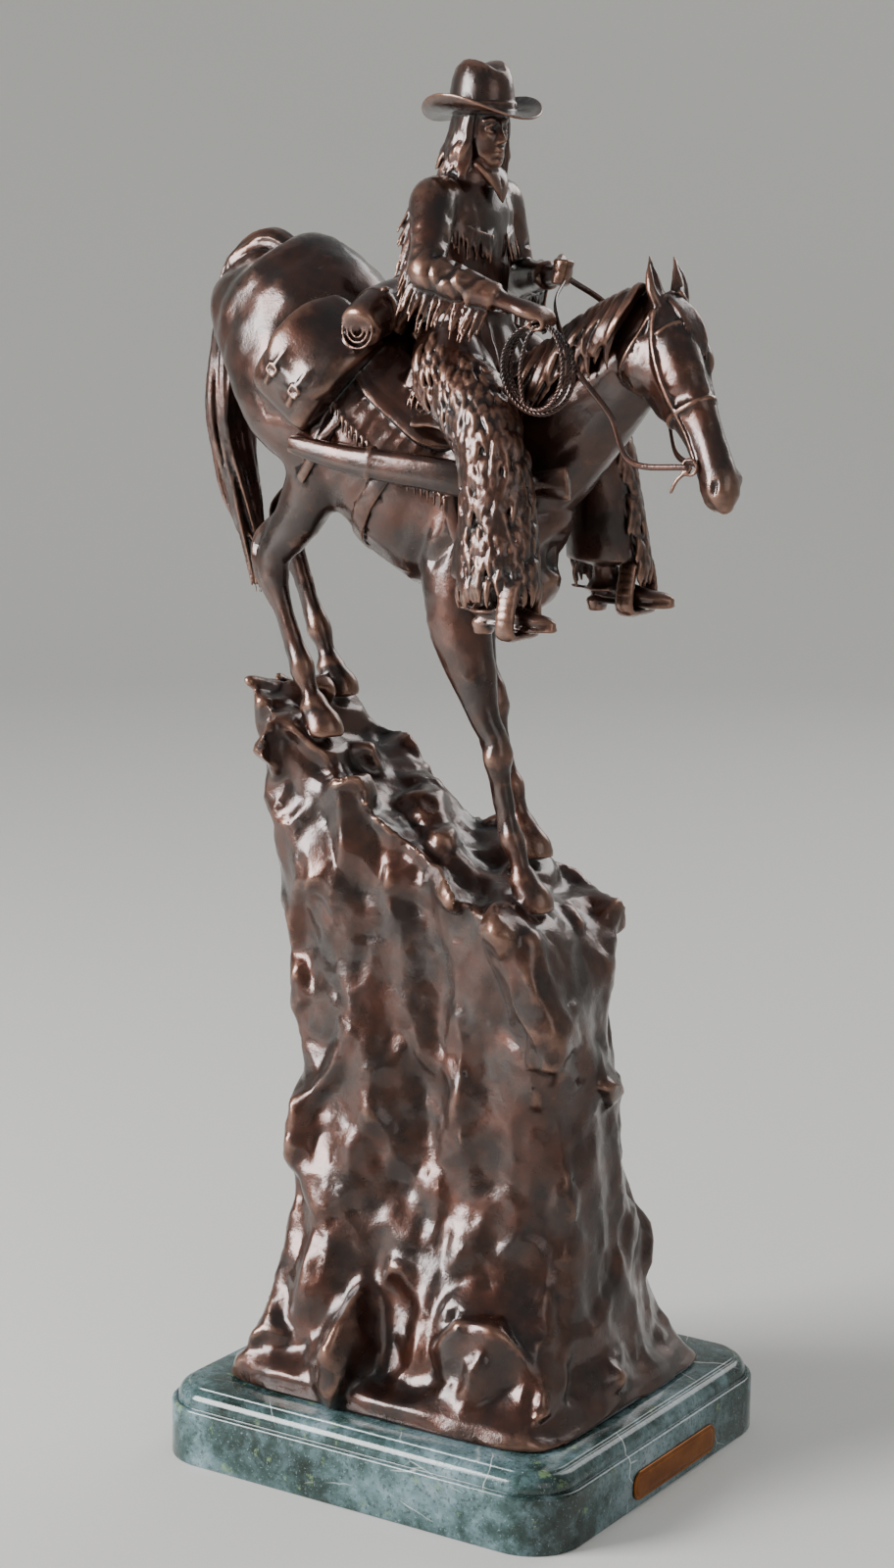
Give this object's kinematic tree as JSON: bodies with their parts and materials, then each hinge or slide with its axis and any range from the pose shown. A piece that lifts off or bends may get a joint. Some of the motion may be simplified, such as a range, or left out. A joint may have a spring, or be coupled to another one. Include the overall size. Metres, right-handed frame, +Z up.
{
  "type": "bronze horseman statuette",
  "caption": "Bronze rider on a horse stepping down a steep rock, on a moulded green marble plinth with a blank brass plate.",
  "frame": {"origin": "centre of the marble plinth's underside", "axes": "+Z up, +X the way the horse faces, towards the plate, +Y the horse's left"},
  "size_m": [0.3507, 0.242, 0.754],
  "materials": {
    "bronze": "waxed dark brown patina, rubbed lighter on the high points",
    "marble": "polished dark green marble with pale veins",
    "brass_plate": "satin lacquered brass, blank"
  },
  "bodies": {
    "root": {"bronze_casting": "bronze", "rope_coil": "bronze", "rein_right": "bronze", "rein_left": "bronze", "marble_plinth": "marble", "name_plate": "brass_plate"}
  },
  "joints": []
}
